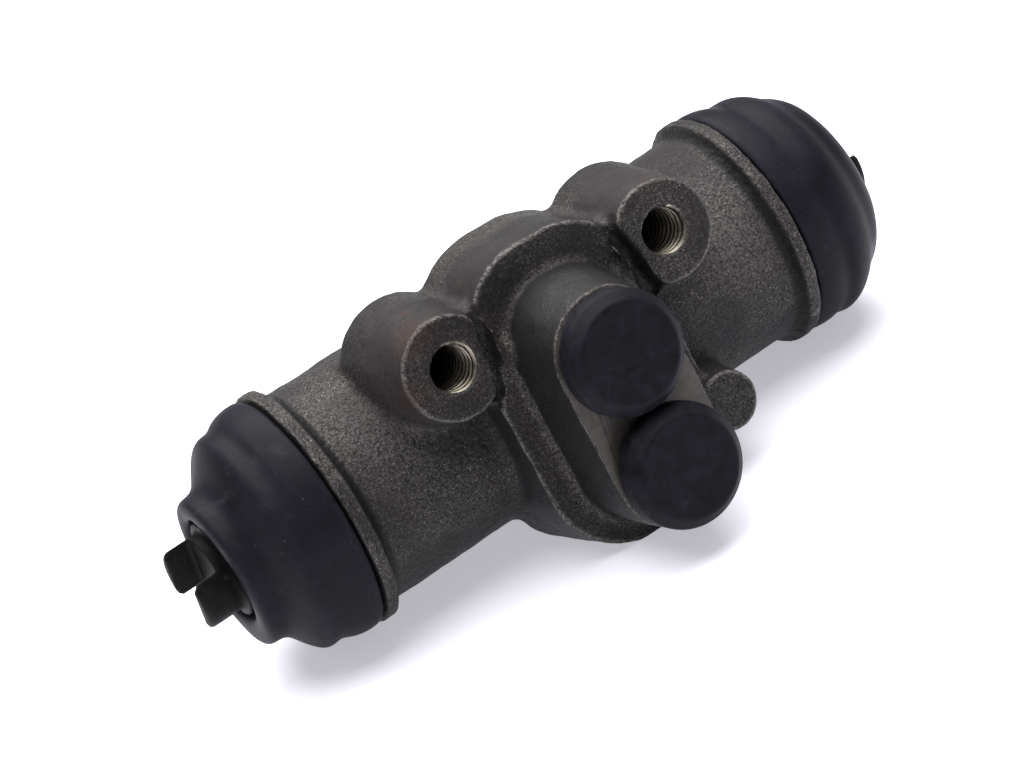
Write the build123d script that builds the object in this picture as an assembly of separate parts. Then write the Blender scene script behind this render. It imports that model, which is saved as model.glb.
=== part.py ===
from build123d import *
import os
from math import radians, tan

# Drum brake wheel cylinder, in millimetres. X runs along the bore, -Y is the way out of the
# mounting holes and ports, +Z is the side of the mounting bosses. The origin is on the seat of
# the mounting bosses, midway between the two tapped holes.

# Place of the bore, seen from the origin
axis_behind_seat = 20.4
axis_below_holes = 10.4

# Barrel, its end rings and the spigots under the boots
body_length = 65.0
barrel_diameter = 28.4
barrel_fillet = 1.4
ring_height = 1.5
ring_width = 2.0
ring_edge = 0.35
bore_diameter = 20.64
bore_chamfer = 0.8
spigot_length = 5.0
spigot_diameter = 26.0
spigot_chamfer = 0.5
boot_groove_start = 1.2
boot_groove_width = 1.8
boot_groove_depth = 0.8

# Mounting bosses and the small round pad that seats with them
hole_spacing = 30.0
thread_core_diameter = 5.0
thread_depth = 10.5
drill_point = 1.4
thread_countersink = 0.45
boss_diameter = 12.5
pad_diameter = 7.4
pad_offset = 12.6
pad_below_axis = 11.0
post_reach = 17.0
post_draft = 7.0
post_back_round = 2.0
cast_edge = 0.4
cast_fillet = 1.2

# Shoulder round the port column, and the grooves that part it from the bosses
shoulder_below_seat = 1.8
shoulder_half_width = 11.9
shoulder_top = 18.2
shoulder_bottom = 20.1
shoulder_corner = 10.4
shoulder_reach = 15.5
shoulder_draft = 4.0
shoulder_back_round = 2.0
relief_width = 1.6
relief_offset = 10.1
relief_lean = 5.0
relief_depth = 5.0
relief_top = 4.6
relief_bottom = 6.4

# Port column
column_height = 9.6
column_sink = 2.0
column_root_half_width = 8.5
column_root_top = 14.6
column_root_bottom = 18.1
column_fillet = 0.8
column_edge = 0.3
column_rim = 0.2
port_diameter = 8.8
port_depth = 9.0
port_spacing = 14.7
upper_port_height = 3.95
passage_diameter = 2.6
passage_aim = 0.55

# Port plugs
plug_diameter = 14.5
plug_rim_height = 2.4
plug_bevel_height = 1.5
plug_bevel_width = 1.2
plug_edge = 0.35
plug_seat_gap = 0.05
plug_stem_length = 6.0
plug_stem_wall = 1.3
plug_stem_taper = 0.2
plug_stem_clearance = 0.1

# Pistons: the right one stands a little further in
piston_clearance = 0.04
piston_inner_end = 14.0
right_piston_in = 1.0
skirt_length = 22.0
skirt_chamfer = 0.5
stem_diameter = 12.8
stem_length = 5.4
neck_diameter = 11.2
neck_length = 2.4
collar_diameter = 12.4
collar_length = 1.2
nose_diameter = 10.2
nose_length = 4.8
nose_edge = 0.8
nose_fillet = 0.7
slot_width = 6.4
slot_depth = 3.4
left_slot_turn = 33.0
right_slot_turn = 35.0

# Cup seals, expanders and return spring
cup_length = 5.6
cup_floor = 2.4
cup_lip_root = 1.8
cup_lip_edge = 0.7
cup_heel_relief = 0.3
cup_clearance = 0.05
cup_gap = 0.05
expander_thickness = 0.8
expander_rise = 1.2
expander_flat_diameter = 14.0
expander_hole_diameter = 5.0
expander_clearance = 0.2
spring_wire = 1.2
spring_diameter = 13.4
spring_turns = 5.5
spring_gap = 0.05

# Dust boots, along the axis from the face of the end ring
boot_face_gap = 0.05
boot_seat_diameter = 30.4
boot_roll_diameter = 31.0
boot_roll_along = 1.7
boot_crease_diameter = 30.2
boot_crease_along = 4.5
boot_shoulder_diameter = 25.8
boot_shoulder_along = 8.0
boot_waist_diameter = 18.8
boot_waist_along = 10.5
boot_lip_diameter = 17.2
boot_lip_along = 11.9
boot_mouth_diameter = 13.4
boot_wall = 1.7
right_boot_swell = 1.5
boot_spigot_clearance = 0.03
boot_neck_clearance = 0.15

# How far a radius may be from a named one and still be taken for it
radius_tolerance = 0.001

# Places worked out from the sizes above
axis_y = axis_behind_seat
axis_z = -axis_below_holes
bore_axis = Axis((0, axis_y, axis_z), (1, 0, 0))
bore_radius = bore_diameter / 2
ring_diameter = barrel_diameter + 2 * ring_height
end_face = body_length / 2
spigot_end = end_face + spigot_length
groove_near = end_face + boot_groove_start
groove_far = groove_near + boot_groove_width
column_end_y = shoulder_below_seat - column_height
column_half_width = plug_diameter / 2 + column_rim
upper_port_z = axis_z + upper_port_height
lower_port_z = upper_port_z - port_spacing
skirt_end = piston_inner_end + skirt_length
neck_start = skirt_end + stem_length
collar_start = neck_start + neck_length
nose_start = collar_start + collar_length
piston_tip = nose_start + nose_length
cup_back = piston_inner_end - cup_gap
cup_inside = cup_back - cup_floor
expander_back = cup_inside - cup_gap
expander_front = expander_back - expander_thickness


def turned(*outline):
    """Solid of revolution about the bore axis, from a closed outline of edges or of points."""
    plane = Plane((0, axis_y, axis_z), x_dir=(1, 0, 0), z_dir=(0, -1, 0))
    if isinstance(outline[0], tuple):
        outline = [Polyline(*outline, close=True)]
    return revolve(plane * make_face(outline), bore_axis)


def circles(shape, radius):
    """Round edges of a shape that have this radius."""
    rounds = shape.edges().filter_by(GeomType.CIRCLE)
    return rounds.filter_by(lambda edge: abs(edge.radius - radius) < radius_tolerance)


def facing(x, y, z):
    """Frame at a point, seen from the mounting side: local x is X, y is Z, and z points out to -Y."""
    return Plane((x, y, z), x_dir=(1, 0, 0), z_dir=(0, -1, 0))


def stadium(half_width, low, high):
    """Outline with round ends that stands along Z between two heights."""
    return Pos(0, (low + high) / 2) * SlotOverall(high - low, 2 * half_width, rotation=90)


def cast_post(x, z, diameter):
    """Round post with its seat at the mounting face, drafted back into the barrel."""
    root_radius = diameter / 2 + post_reach * tan(radians(post_draft))
    up = (Align.CENTER, Align.CENTER, Align.MAX)
    post = Cone(root_radius, diameter / 2, post_reach, align=up)
    post = fillet(post.edges().sort_by(Axis.Z)[-1], cast_edge)
    post = fillet(post.edges().filter_by(GeomType.CIRCLE).sort_by(Axis.Z)[0], post_back_round)
    return facing(x, 0, z) * post


# The barrel, turned as one half and mirrored
def make_barrel():
    groove_radius = spigot_diameter / 2 - boot_groove_depth
    half = turned(
        (0, 0),
        (0, barrel_diameter / 2),
        (end_face - ring_width, barrel_diameter / 2),
        (end_face - ring_width, ring_diameter / 2),
        (end_face, ring_diameter / 2),
        (end_face, spigot_diameter / 2),
        (groove_near, spigot_diameter / 2),
        (groove_near, groove_radius),
        (groove_far, groove_radius),
        (groove_far, spigot_diameter / 2),
        (spigot_end - spigot_chamfer, spigot_diameter / 2),
        (spigot_end, spigot_diameter / 2 - spigot_chamfer),
        (spigot_end, 0),
    )
    half = fillet(circles(half, barrel_diameter / 2).sort_by(Axis.X)[-1], barrel_fillet)
    half = fillet(circles(half, ring_diameter / 2), ring_edge)
    return half + mirror(half, about=Plane.YZ)


# The raised shoulder round the port column
def make_shoulder():
    outline = RectangleRounded(
        2 * shoulder_half_width, shoulder_top + shoulder_bottom, shoulder_corner
    )
    middle = axis_z + (shoulder_top - shoulder_bottom) / 2
    face = facing(0, shoulder_below_seat, middle) * outline
    shoulder = extrude(face, -shoulder_reach, taper=-shoulder_draft)
    shoulder = fillet(shoulder.faces().sort_by(Axis.Y)[-1].edges(), shoulder_back_round)
    return fillet(shoulder.faces().sort_by(Axis.Y)[0].edges(), cast_edge)


# The leaning groove that leaves a flat on each mounting boss
def make_relief(side):
    length = relief_top + relief_bottom
    inward = (Align.CENTER, Align.MIN, Align.MIN)
    cutter = Pos(0, 0, -relief_bottom) * Box(relief_width, relief_depth, length, align=inward)
    return Pos(side * relief_offset, 0, 0) * Rot(0, -side * relief_lean, 0) * cutter


# The port column, which narrows to its machined end face
def make_column():
    root = stadium(
        column_root_half_width, axis_z - column_root_bottom, axis_z + column_root_top
    )
    end = stadium(
        column_half_width, lower_port_z - column_half_width, upper_port_z + column_half_width
    )
    root_y = shoulder_below_seat + column_sink
    return loft([facing(0, root_y, 0) * root, facing(0, column_end_y, 0) * end])


# Holes: the two tapped blind holes, and the two ports with their passages to the bore
def make_thread_hole(x):
    top = (Align.CENTER, Align.CENTER, Align.MAX)
    core_radius = thread_core_diameter / 2
    mouth = Cone(core_radius, core_radius + thread_countersink, thread_countersink, align=top)
    core = Cylinder(core_radius, thread_depth, align=top)
    point = Cone(0, core_radius, drill_point, align=top)
    return facing(x, 0, 0) * (core + mouth + Pos(0, 0, -thread_depth) * point)


def make_port(z):
    top = (Align.CENTER, Align.CENTER, Align.MAX)
    port = facing(0, column_end_y, z) * Cylinder(port_diameter / 2, port_depth, align=top)
    start = Vector(0, column_end_y + port_depth, z)
    target = Vector(0, axis_y, axis_z + passage_aim * (z - axis_z))
    way = target - start
    bottom = (Align.CENTER, Align.CENTER, Align.MIN)
    passage = Cylinder(passage_diameter / 2, way.length, align=bottom)
    return port + Plane(start, x_dir=(1, 0, 0), z_dir=way) * passage


# The casting: barrel, shoulder and posts in one piece, with cast fillets, then machined
def make_cylinder_body():
    barrel = make_barrel()
    shoulder = make_shoulder()
    posts = [
        cast_post(-hole_spacing / 2, 0, boss_diameter),
        cast_post(hole_spacing / 2, 0, boss_diameter),
        cast_post(pad_offset, axis_z - pad_below_axis, pad_diameter),
    ]
    body = barrel + shoulder + posts[0] + posts[1] + posts[2]
    body = fillet(new_edges(barrel, shoulder, *posts, combined=body), cast_fillet)
    for side in (-1, 1):
        body -= make_relief(side)

    column = make_column()
    joined = body + column
    body = fillet(new_edges(body, column, combined=joined), column_fillet)
    body = chamfer(body.faces().sort_by(Axis.Y)[0].edges(), column_edge)

    bore = Cylinder(bore_radius, 2 * spigot_end, rotation=(0, 90, 0))
    body -= Pos(0, axis_y, axis_z) * bore
    body = chamfer(circles(body, bore_radius), bore_chamfer)
    body = body - make_thread_hole(-hole_spacing / 2) - make_thread_hole(hole_spacing / 2)
    return body - make_port(upper_port_z) - make_port(lower_port_z)


# Port plug: a bevelled rubber cap with a hollow stem that grips inside the port
def make_plug(z):
    rim = plug_diameter / 2
    face = rim - plug_bevel_width
    stem = port_diameter / 2 - plug_stem_clearance
    stem_inside = stem - plug_stem_wall
    top = plug_rim_height + plug_bevel_height
    outline = Polyline(
        (0, top),
        (face, top),
        (rim, plug_rim_height),
        (rim, 0),
        (stem, 0),
        (stem - plug_stem_taper, -plug_stem_length),
        (stem_inside, -plug_stem_length),
        (stem_inside, 0),
        (0, 0),
        close=True,
    )
    section = Plane.XZ * make_face(outline)
    plug = revolve(section, Axis.Z)
    plug = fillet(circles(plug, face) + circles(plug, rim), plug_edge)
    return facing(0, column_end_y - plug_seat_gap, z) * plug


# Piston: skirt in the bore, neck for the lip of the boot, and a nose slotted for the shoe
def make_piston(slot_turn):
    skirt = bore_radius - piston_clearance
    piston = turned(
        (piston_inner_end, 0),
        (piston_inner_end, skirt - skirt_chamfer),
        (piston_inner_end + skirt_chamfer, skirt),
        (skirt_end - skirt_chamfer, skirt),
        (skirt_end, skirt - skirt_chamfer),
        (skirt_end, stem_diameter / 2),
        (neck_start, stem_diameter / 2),
        (neck_start, neck_diameter / 2),
        (collar_start, neck_diameter / 2),
        (collar_start, collar_diameter / 2),
        (nose_start, collar_diameter / 2),
        (nose_start, nose_diameter / 2),
        (piston_tip, nose_diameter / 2),
        (piston_tip, 0),
    )
    nose_ends = circles(piston, nose_diameter / 2).sort_by(Axis.X)
    piston = fillet(nose_ends[0], nose_fillet)
    piston = fillet(circles(piston, nose_diameter / 2).sort_by(Axis.X)[-1], nose_edge)
    slot = Box(2 * slot_depth, slot_width, 2 * nose_diameter)
    slot = Pos(piston_tip, axis_y, axis_z) * Rot(slot_turn, 0, 0) * slot
    return piston - slot


# Cup seal: a rubber cup with its lips towards the middle of the bore
def make_cup():
    outside = bore_radius - cup_clearance
    front = cup_back - cup_length
    return turned(
        (cup_back, 0),
        (cup_back, outside - cup_heel_relief),
        (front, outside),
        (front, outside - cup_lip_edge),
        (cup_inside, outside - cup_lip_root),
        (cup_inside, 0),
    )


# Cup expander: a pressed disc, dished to stand against the lips of the cup
def make_expander():
    rim = bore_radius - cup_clearance - cup_lip_root - expander_clearance
    flat = expander_flat_diameter / 2
    hole = expander_hole_diameter / 2
    return turned(
        (expander_back, hole),
        (expander_back, flat),
        (expander_back - expander_rise, rim),
        (expander_front - expander_rise, rim),
        (expander_front, flat),
        (expander_front, hole),
    )


# Return spring between the two expanders
def make_spring():
    radius = (spring_diameter - spring_wire) / 2
    half_span = expander_front - spring_gap - spring_wire / 2
    start = -half_span
    length = 2 * half_span - right_piston_in
    path = Helix(length / spring_turns, length, radius, center=(start, 0, 0), direction=(1, 0, 0))
    wire = Plane(path @ 0, z_dir=path % 0) * Circle(spring_wire / 2)
    return Pos(0, axis_y, axis_z) * sweep(wire, path, is_frenet=True)


# Dust boot: seated on the spigot, rolled at the ring and drawn in to the neck of the piston.
# A piston that stands further in makes its boot swell, most of all at the waist.
def make_boot(piston_in, swell):
    seat = spigot_diameter / 2 + boot_spigot_clearance
    groove = seat - boot_groove_depth
    neck = neck_diameter / 2 + boot_neck_clearance
    mouth = boot_mouth_diameter / 2
    lip = boot_lip_diameter / 2 + swell
    lip_front = end_face + boot_lip_along + (lip - mouth) / 2
    rim = (end_face + boot_face_gap, boot_seat_diameter / 2)
    roll = (end_face + boot_roll_along, boot_roll_diameter / 2)
    crease = (end_face + boot_crease_along, boot_crease_diameter / 2)
    shoulder = (end_face + boot_shoulder_along, boot_shoulder_diameter / 2 + swell)
    waist = (end_face + boot_waist_along, boot_waist_diameter / 2 + 2 * swell)
    lip_outside = (end_face + boot_lip_along, lip)
    lip_inside = (end_face + boot_lip_along, mouth)
    outside = Spline(rim, roll, crease, shoulder, waist, lip_outside)
    rolled_lip = ThreePointArc(lip_outside, (lip_front, (lip + mouth) / 2), lip_inside)
    bead_front = collar_start - piston_in - boot_neck_clearance
    bead_back = neck_start - piston_in + boot_neck_clearance
    inner_shoulder = (shoulder[0] - boot_wall / 2, shoulder[1] - boot_wall)
    grip = Polyline(lip_inside, (bead_front, mouth), (bead_front, neck), (bead_back, neck))
    inner_waist = (bead_back, waist[1] - boot_wall)
    inner_wall = Polyline(grip @ 1, inner_waist, inner_shoulder, (spigot_end + boot_wall / 2, seat))
    socket = Polyline(
        inner_wall @ 1,
        (groove_far - boot_spigot_clearance, seat),
        (groove_far - boot_spigot_clearance, groove),
        (groove_near + boot_spigot_clearance, groove),
        (groove_near + boot_spigot_clearance, seat),
        (rim[0], seat),
        rim,
    )
    return turned(outside, rolled_lip, grip, inner_wall, socket)


os.makedirs("parts", exist_ok=True)
middle_plane = Plane.YZ
right_in = Pos(-right_piston_in, 0, 0)
export_step(make_cylinder_body(), "parts/cylinder_body.step")
export_step(right_in * make_piston(right_slot_turn), "parts/right_piston.step")
export_step(mirror(make_piston(left_slot_turn), about=middle_plane), "parts/left_piston.step")
export_step(right_in * make_cup(), "parts/right_cup_seal.step")
export_step(mirror(make_cup(), about=middle_plane), "parts/left_cup_seal.step")
export_step(right_in * make_expander(), "parts/right_cup_expander.step")
export_step(mirror(make_expander(), about=middle_plane), "parts/left_cup_expander.step")
export_step(make_spring(), "parts/return_spring.step")
export_step(make_boot(right_piston_in, right_boot_swell), "parts/right_dust_boot.step")
export_step(mirror(make_boot(0, 0), about=middle_plane), "parts/left_dust_boot.step")
export_step(make_plug(upper_port_z), "parts/upper_port_plug.step")
export_step(make_plug(lower_port_z), "parts/lower_port_plug.step")
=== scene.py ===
from math import cos, pi, radians, sin

import bpy
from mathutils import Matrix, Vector


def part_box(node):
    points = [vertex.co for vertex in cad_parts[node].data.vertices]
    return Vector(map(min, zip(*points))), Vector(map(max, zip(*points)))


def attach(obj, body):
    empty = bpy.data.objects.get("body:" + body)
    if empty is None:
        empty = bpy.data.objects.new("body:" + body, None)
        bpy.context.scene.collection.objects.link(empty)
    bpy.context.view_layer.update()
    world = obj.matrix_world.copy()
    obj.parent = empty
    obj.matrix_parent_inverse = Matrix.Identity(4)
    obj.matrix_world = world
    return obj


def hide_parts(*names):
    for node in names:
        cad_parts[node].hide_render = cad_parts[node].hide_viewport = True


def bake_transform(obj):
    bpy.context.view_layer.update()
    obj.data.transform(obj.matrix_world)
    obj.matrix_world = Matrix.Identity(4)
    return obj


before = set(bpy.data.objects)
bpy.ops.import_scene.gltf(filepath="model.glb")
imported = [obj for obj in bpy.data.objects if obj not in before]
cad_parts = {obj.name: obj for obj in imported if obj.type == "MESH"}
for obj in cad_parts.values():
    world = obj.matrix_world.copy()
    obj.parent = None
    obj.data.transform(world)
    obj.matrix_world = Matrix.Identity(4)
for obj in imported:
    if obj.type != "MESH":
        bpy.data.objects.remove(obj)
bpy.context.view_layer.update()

# The view: the cylinder lies on a white table, seen from the side of its mounting bosses, a little
# from above, with the camera rolled so that the bore climbs to the right.
view = bpy.data.objects.new("view", bpy.data.cameras.new("view"))
bpy.context.scene.collection.objects.link(view)
view.location = (-0.10801, -0.29664, 0.08054)
view.rotation_euler = (radians(72.828), radians(27.314), radians(-26.448))
view.data.sensor_width = 36.0
view.data.lens = 101.91
view.data.shift_x = -0.0003
view.data.shift_y = -0.0085
view.data.clip_start = 0.01
bpy.context.scene.camera = view
bpy.context.scene.view_settings.view_transform = "Standard"


# The casting: grey iron from a sand mould. Barrel, end rings, shoulder, port column, two mounting
# bosses and a small pad are one piece, rough where the sand was and bright where it was machined.
bore_y = 0.0204
bore_z = -0.0104
bore_radius = 0.01035
column_end = -0.0078
port_radius = 0.00442
upper_port_z = -0.00645
lower_port_z = -0.02115
ring_face = 0.0325
ring_radius = 0.0157
spigot_radius = 0.0131
hole_from_middle = 0.015
core_radius = 0.00252
thread_pitch = 0.001

# places on the barrel painted brighter as highlights where the light falls, and rust stains: middle, reach
# and share
painted_barrel_highlights = (
    ((-0.0245, 0.0080, -0.0035), 0.0095, 0.40),
    ((0.0245, 0.0070, -0.0055), 0.0090, 0.70),
    ((0.0170, 0.0080, -0.0120), 0.0050, 0.20),
)
cast_stains = (
    ((-0.0175, 0.0015, 0.0060), 0.0045, 0.75),
    ((-0.0210, 0.0012, -0.0005), 0.0035, 0.70),
    ((-0.0075, 0.0070, 0.0068), 0.0012, 0.95),
    ((-0.0150, 0.0060, 0.0068), 0.0014, 0.85),
    ((0.0160, 0.0010, 0.0060), 0.0030, 0.40),
)


def only(piece):
    """Leaves just this piece selected and active."""
    bpy.ops.object.select_all(action="DESELECT")
    piece.select_set(True)
    bpy.context.view_layer.objects.active = piece
    return piece


def shaped(piece, kind, **settings):
    """Gives the piece a modifier with these settings, and applies it."""
    modifier = piece.modifiers.new(kind.lower(), kind)
    for setting, value in settings.items():
        setattr(modifier, setting, value)
    only(piece)
    bpy.ops.object.modifier_apply(modifier=modifier.name)
    return piece


def settled(piece):
    """Puts the place and turn of a piece into its mesh."""
    only(piece)
    bpy.ops.object.transform_apply(location=True, rotation=True, scale=True)
    return piece


def named(name):
    """The piece that was just added, under its own name."""
    piece = bpy.context.view_layer.objects.active
    piece.name = piece.data.name = name
    return piece


def sand_lumps(name, size, depth):
    """How a sand mould leaves a wavy skin, as settings of a displacement."""
    texture = bpy.data.textures.new(name, "CLOUDS")
    texture.noise_scale = size
    texture.noise_depth = 2
    return {"texture": texture, "strength": depth, "mid_level": 0.85, "texture_coords": "LOCAL"}


class Finish:
    """A material that is put together node by node from patterns on the piece's own coordinates."""

    def __init__(self, name, **plain):
        self.material = bpy.data.materials.new(name)
        self.material.use_nodes = True
        self.tree = self.material.node_tree
        self.shader = self.tree.nodes["Principled BSDF"]
        for socket, value in plain.items():
            self.shader.inputs[socket.replace("_", " ")].default_value = value
        self.place = self.tree.nodes.new("ShaderNodeTexCoord").outputs["Object"]

    def node(self, kind, inputs=(), **settings):
        made = self.tree.nodes.new("ShaderNode" + kind)
        for setting, value in settings.items():
            setattr(made, setting, value)
        for key, value in dict(inputs).items():
            if isinstance(value, bpy.types.NodeSocket):
                self.tree.links.new(value, made.inputs[key])
            else:
                made.inputs[key].default_value = value
        return made

    def stretched(self, scale, move=(0, 0, 0)):
        return self.node("Mapping", {"Vector": self.place, "Scale": scale, "Location": move}).outputs[0]

    def noise(self, scale, detail=2.0, roughness=0.5, place=None, distortion=0.0):
        inputs = {"Vector": place or self.place, "Scale": scale, "Detail": detail}
        inputs |= {"Roughness": roughness, "Distortion": distortion}
        return self.node("TexNoise", inputs).outputs["Fac"]

    def pebbles(self, scale):
        inputs = {"Vector": self.place, "Scale": scale, "Smoothness": 0.6}
        return self.node("TexVoronoi", inputs, feature="SMOOTH_F1").outputs["Distance"]

    def ramp(self, value, low, high, start=0.0, end=1.0):
        inputs = {"Value": value, "From Min": low, "From Max": high, "To Min": start, "To Max": end}
        return self.node("MapRange", inputs).outputs[0]

    def between(self, value, low, high, border):
        below = self.ramp(value, high + border, high)
        return self.math("MULTIPLY", self.ramp(value, low - border, low), below)

    def math(self, operation, a, b=0.0):
        return self.node("Math", {0: a, 1: b}, operation=operation).outputs[0]

    def blend(self, share, a, b):
        inputs = {"Factor": share, 6: a, 7: b}
        return self.node("Mix", inputs, data_type="RGBA").outputs[2]

    def near(self, point, inside, outside):
        inputs = {0: self.place, 1: point}
        distance = self.node("VectorMath", inputs, operation="DISTANCE").outputs["Value"]
        return self.ramp(distance, inside, outside, 1.0, 0.0)

    def off_bore(self):
        across = self.node("VectorMath", {0: self.place, 1: (0, 1, 1)}, operation="MULTIPLY").outputs[0]
        inputs = {0: across, 1: (0, bore_y, bore_z)}
        return self.node("VectorMath", inputs, operation="DISTANCE").outputs["Value"]

    def axis(self, letter):
        return self.node("SeparateXYZ", {0: self.place}).outputs[letter]

    def edges(self, low, high):
        point = self.node("NewGeometry").outputs["Pointiness"]
        return self.ramp(point, low, high)

    def bump(self, height, depth, strength=1.0, under=None):
        inputs = {"Height": height, "Distance": depth, "Strength": strength}
        if under is not None:
            inputs["Normal"] = under
        return self.node("Bump", inputs).outputs[0]

    def wear(self, **sockets):
        for socket, value in sockets.items():
            self.tree.links.new(value, self.shader.inputs[socket.replace("_", " ")])
        return self.material


def cast_skin():
    iron = Finish("cast_iron", Metallic=0.35, Specular_IOR_Level=0.35)
    depth_in = iron.axis("Y")
    along_bore = iron.math("ABSOLUTE", iron.axis("X"))

    # patterns of the sand, finer to coarser
    grain = iron.noise(3500.0, 3.0, 0.70)
    sand = iron.pebbles(1500.0)
    sparkle = iron.ramp(iron.noise(5600.0, 2.0, 0.5), 0.60, 0.69)
    rough_area = iron.ramp(iron.noise(105.0, 2.0, 0.5), 0.42, 0.60)
    patches = iron.noise(330.0, 5.0, 0.65)
    stain = iron.noise(80.0, 4.0, 0.6, distortion=0.6)

    # sides that were drawn straight out of the sand are calmer than the rest
    outward = iron.node("SeparateXYZ", {0: iron.node("NewGeometry").outputs["Normal"]}).outputs["Y"]
    upright = iron.ramp(iron.math("ABSOLUTE", outward), 0.55, 0.35)
    calm = iron.math("MULTIPLY", upright, iron.ramp(depth_in, 0.011, 0.009))

    # dark skin with lighter grains, plainer on the drawn sides, and darkest round the column as painted
    # shade
    stain = iron.ramp(stain, 0.40, 0.62)
    dark = iron.blend(stain, (0.0100, 0.0084, 0.0092, 1), (0.0165, 0.0138, 0.0122, 1))
    light = iron.blend(rough_area, (0.0260, 0.0228, 0.0240, 1), (0.060, 0.054, 0.052, 1))
    speckle = iron.ramp(grain, 0.40, 0.66)
    colour = iron.blend(speckle, dark, light)
    patches = iron.ramp(patches, 0.3, 0.7)
    plain = iron.blend(patches, (0.0130, 0.0109, 0.0123, 1), (0.0245, 0.0210, 0.0240, 1))
    colour = iron.blend(iron.ramp(calm, 0, 1, 0, 0.78), colour, plain)
    painted_column_shade = iron.ramp(along_bore, 0.0092, 0.0087)
    painted_column_shade = iron.math("MULTIPLY", painted_column_shade, iron.ramp(depth_in, 0.0016, 0.0010))
    painted_column_shade = iron.math("MULTIPLY", painted_column_shade, iron.ramp(calm, 0, 1, 0, 0.88))
    colour = iron.blend(painted_column_shade, colour, (0.0090, 0.0078, 0.0082, 1))

    # painted highlights: bright grains, thicker on the lit places of the barrel, and painted glints of
    # single grains
    for spot, reach, share in painted_barrel_highlights:
        wear_and_sheen = iron.math("MULTIPLY", iron.near(spot, 0.2 * reach, reach), iron.ramp(grain, 0.36, 0.60))
        colour = iron.blend(iron.math("MULTIPLY", wear_and_sheen, share), colour, (0.165, 0.152, 0.148, 1))
    # painted glints: the brightest grains, fewer on the calm sides
    painted_glints = iron.math("MULTIPLY", sparkle, iron.ramp(calm, 0, 1, 0.5, 0.1))
    painted_glints = iron.math("MULTIPLY", painted_glints, iron.ramp(rough_area, 0, 1, 0.25, 0.9))
    colour = iron.blend(painted_glints, colour, (0.44, 0.42, 0.38, 1))

    # edges painted bright, partly as wear and partly as painted highlights: of the bosses and pad, the
    # shoulder, the column and, less so, the rings
    edge_wear_and_highlight = iron.math("MULTIPLY", iron.edges(0.520, 0.585), iron.ramp(grain, 0.38, 0.56))
    edge_wear_and_highlight = iron.math("MULTIPLY", edge_wear_and_highlight, iron.ramp(iron.off_bore(), 0.0146, 0.0149))
    worn_and_lit_places = iron.between(depth_in, -0.0006, 0.0006, 0.0003)
    shoulder_edge = iron.between(depth_in, 0.0016, 0.0029, 0.0004)
    shoulder_edge = iron.math("MULTIPLY", shoulder_edge, iron.ramp(along_bore, 0.0135, 0.0128))
    column_edge = iron.ramp(depth_in, -0.0068, -0.0072)
    ring_edges = iron.ramp(along_bore, 0.0300, 0.0303, 0.0, 0.4)
    for place in (shoulder_edge, column_edge, ring_edges):
        worn_and_lit_places = iron.math("MAXIMUM", worn_and_lit_places, place)
    edge_wear_and_highlight = iron.math("MULTIPLY", edge_wear_and_highlight, worn_and_lit_places)

    # a painted highlight along the hollow round the foot of the column; neither it nor the bright edges are
    # painted inside the two grooves
    hollow = iron.edges(0.485, 0.41)
    on_band = iron.ramp(depth_in, 0.0024, 0.0018)
    painted_root_highlight = iron.math("MULTIPLY", iron.math("MULTIPLY", hollow, on_band), iron.ramp(grain, 0.42, 0.56))
    for side in (-1, 1):
        in_groove = iron.near((side * 0.0095, 0.0015, -0.0010), 0.0038, 0.0055)
        clear_of_groove = iron.ramp(in_groove, 0, 1, 1.0, 0.1)
        edge_wear_and_highlight = iron.math("MULTIPLY", edge_wear_and_highlight, clear_of_groove)
        painted_root_highlight = iron.math("MULTIPLY", painted_root_highlight, clear_of_groove)
    colour = iron.blend(iron.math("MULTIPLY", edge_wear_and_highlight, 0.85), colour, (0.40, 0.38, 0.35, 1))
    colour = iron.blend(iron.math("MULTIPLY", painted_root_highlight, 0.7), colour, (0.27, 0.255, 0.23, 1))

    # painted shade in the deep corners, less at the open tops of the grooves, and a painted shadow line at
    # the foot of each ring
    painted_corner_shade = iron.math("MULTIPLY", hollow, iron.ramp(on_band, 0, 1, 0.9, 0.0))
    for side in (-1, 1):
        open_valley = iron.near((side * 0.0105, 0.0030, 0.0062), 0.0022, 0.0046)
        painted_corner_shade = iron.math("MULTIPLY", painted_corner_shade, iron.ramp(open_valley, 0, 1, 1.0, 0.12))
    colour = iron.blend(painted_corner_shade, colour, (0.0105, 0.0088, 0.0082, 1))
    # painted shadow: a dark line along the foot of each ring
    painted_ring_shadow = iron.between(along_bore, 0.0297, 0.0304, 0.0005)
    colour = iron.blend(iron.math("MULTIPLY", painted_ring_shadow, 0.92), colour, (0.0045, 0.0038, 0.0035, 1))
    for spot, reach, share in cast_stains:
        tint = iron.math("MULTIPLY", iron.near(spot, 0.2 * reach, reach), iron.ramp(grain, 0.40, 0.60))
        colour = iron.blend(iron.math("MULTIPLY", tint, share), colour, (0.062, 0.027, 0.016, 1))

    roughness = iron.ramp(speckle, 0, 1, 0.66, 0.46)
    grained = iron.bump(grain, 0.00013, iron.ramp(calm, 0, 1, 1.0, 0.35))
    pitted = iron.bump(sand, 0.00018, iron.ramp(calm, 0, 1, 0.6, 0.12), grained)
    return iron.wear(Base_Color=colour, Roughness=roughness, Normal=pitted)


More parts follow.
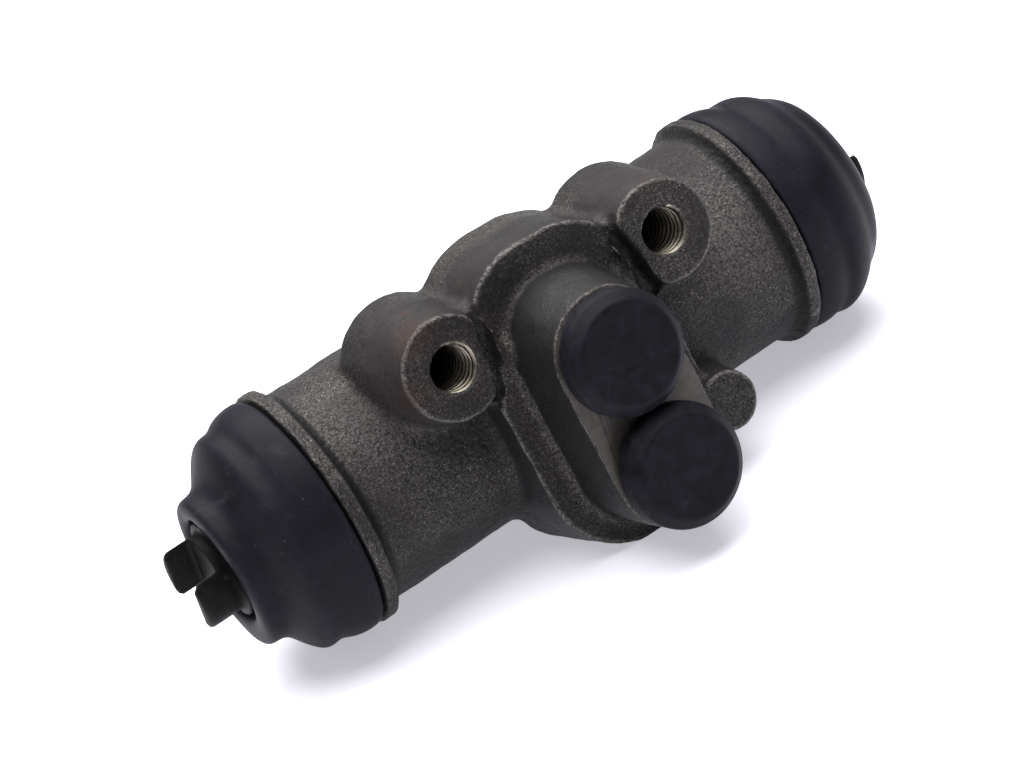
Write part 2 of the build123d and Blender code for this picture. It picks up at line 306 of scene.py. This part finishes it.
def machined_skin():
    iron = Finish("machined_iron", Metallic=0.5)
    marks = iron.noise(1.0, 3.0, 0.6, place=iron.stretched((600.0, 600.0, 5200.0)))
    mottle = iron.noise(700.0, 4.0, 0.6)
    colour = iron.blend(iron.ramp(mottle, 0.3, 0.7), (0.048, 0.042, 0.038, 1), (0.105, 0.095, 0.086, 1))
    # bright rims on the machined edges, partly wear and partly painted highlight
    wear_and_sheen = iron.math("MULTIPLY", iron.edges(0.53, 0.60), 0.7)
    colour = iron.blend(wear_and_sheen, colour, (0.40, 0.38, 0.35, 1))
    roughness = iron.ramp(mottle, 0.3, 0.7, 0.42, 0.6)
    return iron.wear(Base_Color=colour, Roughness=roughness, Normal=iron.bump(marks, 0.00003, 0.6))


def thread_skin():
    steel = Finish("cut_thread", Metallic=0.95)
    shade = steel.noise(1800.0, 3.0, 0.6)
    # painted shade: the thread darker deeper into the hole
    painted_hole_shade = steel.ramp(steel.axis("Y"), 0.001, 0.008)
    colour = steel.blend(steel.ramp(shade, 0.3, 0.7), (0.17, 0.15, 0.12, 1), (0.44, 0.40, 0.32, 1))
    colour = steel.blend(steel.math("MULTIPLY", painted_hole_shade, 0.8), colour, (0.10, 0.09, 0.08, 1))
    return steel.wear(Base_Color=colour, Roughness=steel.ramp(shade, 0.3, 0.7, 0.32, 0.48))


def cut(piece, cutter, skin):
    """Machines the casting with a cutter, whose finish stays on the new faces."""
    cutter.data.materials.clear()
    cutter.data.materials.append(skin)
    settled(cutter)
    shaped(piece, "BOOLEAN", object=cutter, solver="EXACT", material_mode="TRANSFER")
    bpy.data.meshes.remove(cutter.data)


def merged(node):
    """A copy of a CAD node as one closed mesh."""
    pattern = bpy.data.objects.new(node + "_pattern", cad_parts[node].data.copy())
    bpy.context.scene.collection.objects.link(pattern)
    pattern.data.materials.clear()
    only(pattern)
    bpy.ops.object.mode_set(mode="EDIT")
    bpy.ops.mesh.select_all(action="SELECT")
    bpy.ops.mesh.remove_doubles(threshold=0.000001)
    bpy.ops.object.mode_set(mode="OBJECT")
    return pattern


def evened(pattern, name, voxel, passes):
    """The same shape with an even mesh, whose sharp edges are a little worn."""
    piece = bpy.data.objects.new(name, pattern.data.copy())
    bpy.context.scene.collection.objects.link(piece)
    shaped(piece, "REMESH", mode="VOXEL", voxel_size=voxel)
    shaped(piece, "SHRINKWRAP", target=pattern, wrap_method="NEAREST_SURFACEPOINT")
    shaped(piece, "SMOOTH", factor=0.5, iterations=passes)
    bpy.data.meshes.remove(pattern.data)
    return only(piece)


def capped(piece):
    """Fills the open ends of a piece that was swept along a screw line, and faces it outwards."""
    only(piece)
    bpy.ops.object.mode_set(mode="EDIT")
    bpy.ops.mesh.select_all(action="DESELECT")
    bpy.ops.mesh.select_mode(type="EDGE")
    bpy.ops.mesh.select_non_manifold()
    bpy.ops.mesh.fill_holes(sides=0)
    bpy.ops.mesh.select_all(action="SELECT")
    bpy.ops.mesh.normals_make_consistent(inside=False)
    bpy.ops.object.mode_set(mode="OBJECT")
    return piece


cast_iron = cast_skin()
machined_iron = machined_skin()
cut_thread = thread_skin()

# the sand of the mould leaves the two grooves beside the shoulder leaning, shallow at their tops and
# open below the bosses: rows of height, inner and outer side, front and back, in millimetres
groove_forms = (
    ("low_fill", "UNION", (-7.4, 8.8, 10.9, 1.85, 7.0), (0.4, 8.8, 9.27, 1.85, 7.0)),
    ("boss_fill", "UNION", (-0.5, 10.85, 11.4, 0.05, 6.5), (3.5, 9.95, 11.4, 0.05, 6.5)),
    ("boss_top", "UNION", (3.5, 9.95, 11.4, 0.05, 6.5), (4.5, 10.75, 11.5, 0.05, 6.5)),
    ("floor_fill", "UNION", (-7.2, 8.8, 11.6, 3.2, 7.0), (4.2, 8.8, 11.3, 2.0, 7.0)),
    ("saddle_fill", "UNION", (3.6, 8.6, 11.3, 2.0, 9.0), (5.0, 8.6, 11.3, 3.6, 9.0)),
    ("groove", "DIFFERENCE", (-6.3, 10.45, 11.70, -1.0, 3.2), (4.2, 8.60, 9.90, -1.0, 2.0)),
    ("mouth", "DIFFERENCE", (-7.4, 11.75, 12.60, -1.0, 3.3), (-4.6, 10.2, 11.6, -1.0, 3.1)),
)
casting_pattern = merged("cylinder_body")
for side in (-1, 1):
    for word, way, low, high in groove_forms:
        bpy.ops.mesh.primitive_cube_add(size=2.0)
        form = named(word)
        for corner in form.data.vertices:
            height, inner, outer, front, back = high if corner.co.z > 0 else low
            across = outer if corner.co.x * side > 0 else inner
            corner.co = Vector((side * across, back if corner.co.y > 0 else front, height)) / 1000
        shaped(casting_pattern, "BOOLEAN", object=form, operation=way, solver="EXACT")
        bpy.data.meshes.remove(form.data)

casting = evened(casting_pattern, "cylinder_body_surface", 0.00049, 3)
casting.data.materials.append(cast_iron)
shaped(casting, "DISPLACE", **sand_lumps("waves", 0.0055, 0.00030))
shaped(casting, "DISPLACE", **sand_lumps("lumps", 0.0016, 0.00016))

# the end face of the column is milled flat
mill_size = 0.03
mill_cut = 0.00032
bpy.ops.mesh.primitive_cube_add(size=mill_size, location=(0, column_end + mill_cut - mill_size / 2, bore_z))
cut(casting, named("face_mill"), machined_iron)

# the ring faces are turned down to the spigots
tool_width = 0.006
face_cut = 0.00002
for side in (-1, 1):
    middle = ring_face + tool_width / 2
    bpy.ops.mesh.primitive_cylinder_add(
        vertices=96,
        radius=ring_radius + 0.0023,
        depth=tool_width,
        location=(side * (middle - face_cut), bore_y, bore_z),
        rotation=(0, pi / 2, 0),
    )
    tool = named("facing_tool")
    bpy.ops.mesh.primitive_cylinder_add(
        vertices=96,
        radius=spigot_radius,
        depth=0.02,
        location=(side * middle, bore_y, bore_z),
        rotation=(0, pi / 2, 0),
    )
    cut(tool, named("spigot_core"), machined_iron)
    cut(casting, tool, machined_iron)

# the bore runs right through
bpy.ops.mesh.primitive_cylinder_add(
    vertices=128, radius=bore_radius, depth=0.09, location=(0, bore_y, bore_z), rotation=(0, pi / 2, 0)
)
cut(casting, named("boring_bar"), machined_iron)

# the two ports
for height in (upper_port_z, lower_port_z):
    bpy.ops.mesh.primitive_cylinder_add(
        vertices=72,
        radius=port_radius,
        depth=0.018,
        location=(0, column_end, height),
        rotation=(pi / 2, 0, 0),
    )
    cut(casting, named("port_drill"), machined_iron)

# the two mounting holes: drilled, opened at the mouth, and tapped with an M6 thread
tap_outline = ((3.06, 0.0), (2.42, 0.47), (2.42, -0.47))
for side in (-1, 1):
    middle = side * hole_from_middle
    bpy.ops.mesh.primitive_cylinder_add(
        vertices=64,
        radius=core_radius,
        depth=0.0135,
        location=(middle, 0.0037, 0),
        rotation=(pi / 2, 0, 0),
    )
    cut(casting, named("core_drill"), cut_thread)
    bpy.ops.mesh.primitive_cone_add(
        vertices=64,
        radius1=0.00215,
        radius2=0.00355,
        depth=0.0014,
        location=(middle, 0.0, 0),
        rotation=(pi / 2, 0, 0),
    )
    cut(casting, named("countersink"), cut_thread)
    bpy.ops.mesh.primitive_circle_add(vertices=3, radius=1.0, fill_type="NOTHING")
    tap = named("tap")
    for corner, (out, along) in zip(tap.data.vertices, tap_outline):
        corner.co = (out / 1000, 0, along / 1000)
    shaped(
        tap,
        "SCREW",
        axis="Z",
        angle=2 * pi,
        steps=48,
        render_steps=48,
        screw_offset=thread_pitch,
        iterations=11,
        use_merge_vertices=False,
    )
    capped(tap)
    tap.rotation_euler = (-pi / 2, 0, 0)
    tap.location = (middle, -0.0006, 0)
    cut(casting, tap, cut_thread)

only(casting)
bpy.ops.object.shade_smooth_by_angle(angle=radians(48))
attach(casting, "housing")
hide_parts("cylinder_body")


# The return spring: hardened steel wire, which keeps the two cups apart when no pressure is in the
# bore. Each half is one piece here.
def spring_skin():
    steel = Finish("spring_wire", Metallic=0.9)
    drawn = steel.noise(1.0, 2.0, 0.5, place=steel.stretched((900.0, 2600.0, 2600.0)))
    colour = steel.blend(drawn, (0.30, 0.30, 0.31, 1), (0.52, 0.52, 0.53, 1))
    return steel.wear(Base_Color=colour, Roughness=steel.ramp(drawn, 0.3, 0.7, 0.28, 0.45))


spring_wire = spring_skin()
wire_radius = 0.0006
coil_radius = 0.0061
half_turns = 2.75
for side, word in ((-1, "left"), (1, "right")):
    spring_reach = abs(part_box("return_spring")[(side + 1) // 2].x)
    bpy.ops.mesh.primitive_circle_add(vertices=16, radius=wire_radius, fill_type="NOTHING")
    half = named(word + "_spring_half")
    half.rotation_euler = (pi / 2, 0, 0)
    half.location = (coil_radius, 0, 0)
    settled(half)
    shaped(
        half,
        "SCREW",
        axis="Z",
        angle=2 * pi * half_turns,
        steps=132,
        render_steps=132,
        screw_offset=spring_reach - wire_radius - 0.0001,
        iterations=1,
    )
    capped(half)
    half.rotation_euler = (0, side * pi / 2, 0)
    half.location = (0, bore_y, bore_z)
    settled(half)
    half.data.materials.append(spring_wire)
    bpy.ops.object.shade_smooth_by_angle(angle=radians(40))
    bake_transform(half)
    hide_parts("return_spring")


# The cups and their expanders: moulded black rubber cups that seal the bore behind the pistons,
# and pressed steel discs that hold their lips open. They stay hidden in the bore.
def cup_skin():
    rubber = Finish("cup_rubber")
    cloud = rubber.noise(500.0, 3.0, 0.5)
    colour = rubber.blend(cloud, (0.012, 0.012, 0.013, 1), (0.022, 0.022, 0.024, 1))
    return rubber.wear(Base_Color=colour, Roughness=rubber.ramp(cloud, 0.3, 0.7, 0.45, 0.6))


def pressed_skin():
    steel = Finish("pressed_steel", Metallic=0.9)
    rolled = steel.noise(1.0, 3.0, 0.6, place=steel.stretched((2000.0, 300.0, 2000.0)))
    colour = steel.blend(rolled, (0.36, 0.36, 0.36, 1), (0.55, 0.55, 0.54, 1))
    return steel.wear(Base_Color=colour, Roughness=steel.ramp(rolled, 0.3, 0.7, 0.3, 0.42))


cup_rubber = cup_skin()
pressed_steel = pressed_skin()
for word in ("left", "right"):
    for node, skin in ((word + "_cup_seal", cup_rubber), (word + "_cup_expander", pressed_steel)):
        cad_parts[node].data.materials.clear()
        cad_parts[node].data.materials.append(skin)


# The pistons: turned from bar, with a dark finish, and slotted across the nose for the web of the
# brake shoe. Only the two prongs of the nose and the collar behind them show in the boot's mouth.
def piston_skin():
    metal = Finish("piston_metal", Metallic=0.15, Specular_IOR_Level=0.06)
    turned_marks = metal.noise(1.0, 2.0, 0.5, place=metal.stretched((6000.0, 300.0, 300.0)))
    grease = metal.noise(380.0, 4.0, 0.6)
    film = metal.ramp(grease, 0.3, 0.7)
    colour = metal.blend(film, (0.0050, 0.0052, 0.0055, 1), (0.0140, 0.0140, 0.0135, 1))
    scratch = metal.noise(1.0, 3.0, 0.7, place=metal.stretched((5200.0, 420.0, 420.0)))
    scratch = metal.math("MULTIPLY", metal.ramp(scratch, 0.60, 0.72), 0.3)
    colour = metal.blend(scratch, colour, (0.070, 0.070, 0.064, 1))
    wear_and_sheen = metal.math("MULTIPLY", metal.edges(0.55, 0.63), metal.ramp(grease, 0.35, 0.55, 0.4, 1.0))
    colour = metal.blend(metal.math("MULTIPLY", wear_and_sheen, 0.6), colour, (0.085, 0.085, 0.070, 1))
    # painted shade: the collar darkened where it sits back in the boot's mouth
    inside = metal.ramp(metal.math("ABSOLUTE", metal.axis("X")), 0.0464, 0.0454)
    colour = metal.blend(metal.math("MULTIPLY", inside, 0.85), colour, (0.0025, 0.0025, 0.0025, 1))
    roughness = metal.ramp(grease, 0.3, 0.7, 0.46, 0.62)
    return metal.wear(Base_Color=colour, Roughness=roughness, Normal=metal.bump(turned_marks, 0.00003, 0.5))


piston_metal = piston_skin()
for word in ("left", "right"):
    piston = evened(merged(word + "_piston"), word + "_piston_surface", 0.00030, 2)
    piston.data.materials.append(piston_metal)
    bpy.ops.object.shade_smooth()
    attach(piston, word + "_plunger")
    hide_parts(word + "_piston")


# The dust boots: moulded black rubber, pulled over the spigot against the ring, with a wide roll, a
# soft crease, a shoulder and a domed nose whose lip grips the neck of the piston.
def boot_skin():
    rubber = Finish("boot_rubber", Specular_IOR_Level=0.07)
    cloud = rubber.noise(160.0, 4.0, 0.55, distortion=0.5)
    film = rubber.noise(900.0, 3.0, 0.6)
    dust = rubber.ramp(rubber.noise(2600.0, 1.0, 0.4), 0.74, 0.80)
    shade = rubber.ramp(cloud, 0.3, 0.7)
    colour = rubber.blend(shade, (0.0085, 0.0083, 0.0118, 1), (0.0160, 0.0155, 0.0212, 1))
    smudge = rubber.ramp(rubber.noise(110.0, 6.0, 0.7, distortion=1.5), 0.58, 0.74)
    colour = rubber.blend(rubber.math("MULTIPLY", smudge, 0.75), colour, (0.034, 0.033, 0.042, 1))
    # painted highlights along the ridges of the boot, broken up by a film pattern
    wear_and_sheen = rubber.math("MULTIPLY", rubber.edges(0.505, 0.53), rubber.ramp(film, 0.35, 0.6))
    colour = rubber.blend(rubber.math("MULTIPLY", wear_and_sheen, 0.5), colour, (0.030, 0.030, 0.040, 1))
    colour = rubber.blend(rubber.math("MULTIPLY", dust, 0.4), colour, (0.10, 0.10, 0.11, 1))
    roughness = rubber.ramp(cloud, 0.3, 0.7, 0.42, 0.56)
    skin = rubber.bump(film, 0.00002, 0.6, rubber.bump(cloud, 0.0002, 0.3))
    return rubber.wear(Base_Color=colour, Roughness=roughness, Normal=skin)


def turned(name, outline, steps, facing):
    """A piece turned about an axis, from a closed outline of (along, radius) points in millimetres."""
    bpy.ops.mesh.primitive_circle_add(vertices=len(outline), radius=1.0, fill_type="NOTHING")
    piece = named(name)
    for corner, (along, out) in zip(piece.data.vertices, outline):
        corner.co = (out / 1000, 0, along / 1000)
    only(piece)
    bpy.ops.object.mode_set(mode="EDIT")
    bpy.ops.mesh.select_all(action="SELECT")
    bpy.ops.mesh.spin(steps=steps, angle=2 * pi, center=(0, 0, 0), axis=(0, 0, 1))
    bpy.ops.mesh.select_all(action="SELECT")
    bpy.ops.mesh.remove_doubles(threshold=0.000001)
    bpy.ops.mesh.dissolve_degenerate(threshold=0.0000001)
    bpy.ops.mesh.select_all(action="SELECT")
    bpy.ops.mesh.normals_make_consistent(inside=False)
    bpy.ops.object.mode_set(mode="OBJECT")
    piece.rotation_euler = facing
    return piece


boot_rubber = boot_skin()
stretched_boot = (
    (0.10, 13.10),
    (0.06, 14.60),
    (0.08, 15.10),
    (0.60, 15.42),
    (1.70, 15.46),
    (2.80, 15.30),
    (3.80, 15.00),
    (4.60, 14.52),
    (5.30, 14.26),
    (6.20, 14.36),
    (7.10, 14.10),
    (7.90, 13.20),
    (8.60, 12.20),
    (9.20, 11.25),
    (9.80, 10.50),
    (10.40, 10.10),
    (11.00, 9.94),
    (11.60, 9.90),
    (12.15, 9.82),
    (12.55, 9.50),
    (12.80, 8.95),
    (12.88, 8.20),
    (12.80, 7.40),
    (12.45, 6.88),
    (11.95, 6.72),
    (11.35, 6.60),
    (11.12, 5.85),
    (9.12, 5.85),
    (9.00, 6.60),
    (8.90, 7.60),
    (8.25, 9.80),
    (7.20, 11.80),
    (6.00, 12.95),
    (5.30, 13.08),
    (3.10, 13.10),
)
swollen_boot = (
    (0.10, 13.10),
    (0.06, 14.60),
    (0.08, 15.10),
    (0.60, 15.45),
    (1.70, 15.50),
    (2.80, 15.42),
    (3.70, 15.18),
    (4.50, 14.92),
    (5.30, 15.08),
    (6.10, 15.18),
    (7.10, 14.98),
    (8.00, 14.56),
    (8.80, 14.00),
    (9.50, 13.36),
    (10.20, 12.84),
    (10.90, 12.46),
    (11.60, 11.96),
    (12.30, 11.20),
    (12.90, 10.20),
    (13.25, 9.00),
    (13.30, 7.90),
    (13.00, 7.05),
    (12.20, 6.75),
    (10.35, 6.60),
    (10.12, 5.85),
    (8.12, 5.85),
    (8.00, 6.60),
    (7.95, 8.80),
    (7.60, 11.00),
    (6.80, 12.40),
    (6.00, 12.95),
    (5.30, 13.08),
    (3.10, 13.10),
)
# how far the soft wall hangs down, as (along, hang) points, and which way that is on the table
boot_sag = {
    "left": ((0.004, 0.0), (0.009, 0.0005), (0.013, 0.0007)),
    "right": ((0.001, 0.0), (0.006, 0.0006), (0.013, 0.0003)),
}
downwards = Vector((0, -0.19, -0.98))
held_radius = 0.0062


def sagged(along, out, steps):
    """How far the soft wall hangs at a place along the boot, less where the piston holds it."""
    near, last = steps[0], steps[-1]
    if along <= near[0]:
        return 0.0
    hang = last[1]
    for low, high in zip(steps, steps[1:]):
        if low[0] < along <= high[0]:
            hang = low[1] + (high[1] - low[1]) * (along - low[0]) / (high[0] - low[0])
    return hang * min(max((out - held_radius) / 0.0025, 0.0), 1.0)


for side, word, outline in ((-1, "left", stretched_boot), (1, "right", swollen_boot)):
    boot = turned(word + "_boot", outline, 48, (0, side * pi / 2, 0))
    boot.location = (side * ring_face, bore_y, bore_z)
    settled(boot)
    shaped(boot, "SUBSURF", levels=2, render_levels=2)
    for corner in boot.data.vertices:
        out = Vector((0, corner.co.y - bore_y, corner.co.z - bore_z)).length
        hang = sagged(abs(corner.co.x) - ring_face, out, boot_sag[word])
        corner.co += hang * downwards
    soft = bpy.data.textures.new("soft_" + word, "CLOUDS")
    soft.noise_scale = 0.011
    shaped(boot, "DISPLACE", texture=soft, strength=0.00022, mid_level=0.75, texture_coords="LOCAL")
    boot.data.materials.append(boot_rubber)
    only(boot)
    bpy.ops.object.shade_smooth()
    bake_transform(boot)
    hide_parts(word + "_dust_boot")


# The port plugs: moulded rubber caps that keep dirt out of the two ports until pipe and bleeder go
# in. Each has a flat face, a bevel, and a hollow stem that grips inside the port.
def plug_skin(name, shift):
    rubber = Finish(name, Specular_IOR_Level=0.09)
    cloud = rubber.noise(330.0, 4.0, 0.62, place=rubber.stretched((1, 1, 1), shift), distortion=1.2)
    film = rubber.noise(1900.0, 2.0, 0.55)
    shade = rubber.ramp(cloud, 0.35, 0.65)
    colour = rubber.blend(shade, (0.0055, 0.0053, 0.0080, 1), (0.0130, 0.0125, 0.0180, 1))
    scuff = rubber.ramp(rubber.noise(240.0, 5.0, 0.7, distortion=2.0), 0.60, 0.70)
    colour = rubber.blend(rubber.math("MULTIPLY", scuff, 0.55), colour, (0.022, 0.021, 0.027, 1))
    # painted highlight on the edges of the face and bevel
    wear_and_sheen = rubber.edges(0.52, 0.58)
    colour = rubber.blend(rubber.math("MULTIPLY", wear_and_sheen, 0.5), colour, (0.026, 0.026, 0.034, 1))
    roughness = rubber.ramp(cloud, 0.3, 0.7, 0.48, 0.62)
    return rubber.wear(Base_Color=colour, Roughness=roughness, Normal=rubber.bump(film, 0.00002, 0.7))


plug_outline = (
    (3.87, 0.0),
    (3.86, 2.6),
    (3.85, 4.9),
    (3.86, 5.30),
    (3.89, 5.55),
    (3.86, 5.85),
    (3.72, 6.08),
    (3.30, 6.42),
    (2.80, 6.84),
    (2.52, 7.10),
    (2.28, 7.21),
    (1.60, 7.23),
    (0.50, 7.22),
    (0.14, 7.12),
    (0.00, 6.85),
    (0.00, 4.60),
    (-0.10, 4.32),
    (-0.60, 4.28),
    (-5.40, 4.12),
    (-5.92, 3.95),
    (-5.98, 3.50),
    (-5.90, 3.05),
    (-5.30, 3.00),
    (-0.40, 3.00),
    (-0.02, 2.70),
    (0.00, 1.40),
    (0.00, 0.0),
)
plug_gap = 0.00005
plugs = (("upper", upper_port_z, (0, 0, 0)), ("lower", lower_port_z, (0.03, 0.01, 0.02)))
for word, height, shift in plugs:
    plug = turned(word + "_plug", plug_outline, 64, (pi / 2, 0, 0))
    plug.location = (0, column_end - plug_gap, height)
    settled(plug)
    shaped(plug, "SUBSURF", levels=1, render_levels=1)
    plug.data.materials.append(plug_skin(word + "_plug_rubber", shift))
    only(plug)
    bpy.ops.object.shade_smooth()
    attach(plug, word + "_plug")
    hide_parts(word + "_port_plug")


# The table: a white glossy sheet on which the cylinder lies, on its rings and the foot of its
# shoulder. It shows from above only.
def table_skin():
    sheet = Finish("white_sheet", Roughness=0.35)
    sheet.shader.inputs["Base Color"].default_value = (0.86, 0.855, 0.92, 1)
    path = sheet.node("LightPath")
    seen = sheet.math("MAXIMUM", path.outputs["Is Camera Ray"], path.outputs["Is Glossy Ray"])
    strength = sheet.math("MULTIPLY", seen, 0.46)
    glow = sheet.node("Emission", {"Color": (0.93, 0.92, 1, 1), "Strength": strength})
    lit = sheet.node("AddShader", {0: sheet.shader.outputs[0], 1: glow.outputs[0]})
    clear = sheet.node("BsdfTransparent")
    below = sheet.node("NewGeometry").outputs["Backfacing"]
    one_sided = sheet.node("MixShader", {0: below, 1: lit.outputs[0], 2: clear.outputs[0]})
    out = sheet.tree.nodes["Material Output"]
    sheet.tree.links.new(one_sided.outputs[0], out.inputs["Surface"])
    return sheet.material


table_lean = radians(10.7)
bpy.ops.mesh.primitive_circle_add(vertices=96, radius=0.6, fill_type="NGON")
table = named("table")
table.rotation_euler = (table_lean, 0, 0)
inward, down = ring_radius * sin(table_lean), ring_radius * cos(table_lean)
table.location = (0, bore_y + inward, bore_z - down - 0.0001)
settled(table)
table.data.materials.append(table_skin())

# The light: a large soft box over the table and a pale room all round
lamp = bpy.data.objects.new("soft_box", bpy.data.lights.new("soft_box", "AREA"))
bpy.context.scene.collection.objects.link(lamp)
lamp.data.shape = "DISK"
lamp.data.size = 0.85
lamp.data.energy = 8.6
lamp.location = (0.05, 0.04, 0.50)
lamp.rotation_euler = (Vector(lamp.location) - Vector((0, 0.01, -0.01))).to_track_quat("Z", "Y").to_euler()

world = bpy.data.worlds.new("pale_room")
bpy.context.scene.world = world
world.use_nodes = True
room = world.node_tree
path = room.nodes.new("ShaderNodeLightPath")
seen = room.nodes.new("ShaderNodeMath")
seen.operation = "MAXIMUM"
room.links.new(path.outputs["Is Camera Ray"], seen.inputs[0])
room.links.new(path.outputs["Is Transmission Ray"], seen.inputs[1])
level = room.nodes.new("ShaderNodeMapRange")
level.inputs["To Min"].default_value = 0.25
level.inputs["To Max"].default_value = 1.0
room.links.new(seen.outputs[0], level.inputs["Value"])
room.nodes["Background"].inputs["Color"].default_value = (1.0, 1.0, 1.0, 1)
room.links.new(level.outputs[0], room.nodes["Background"].inputs["Strength"])
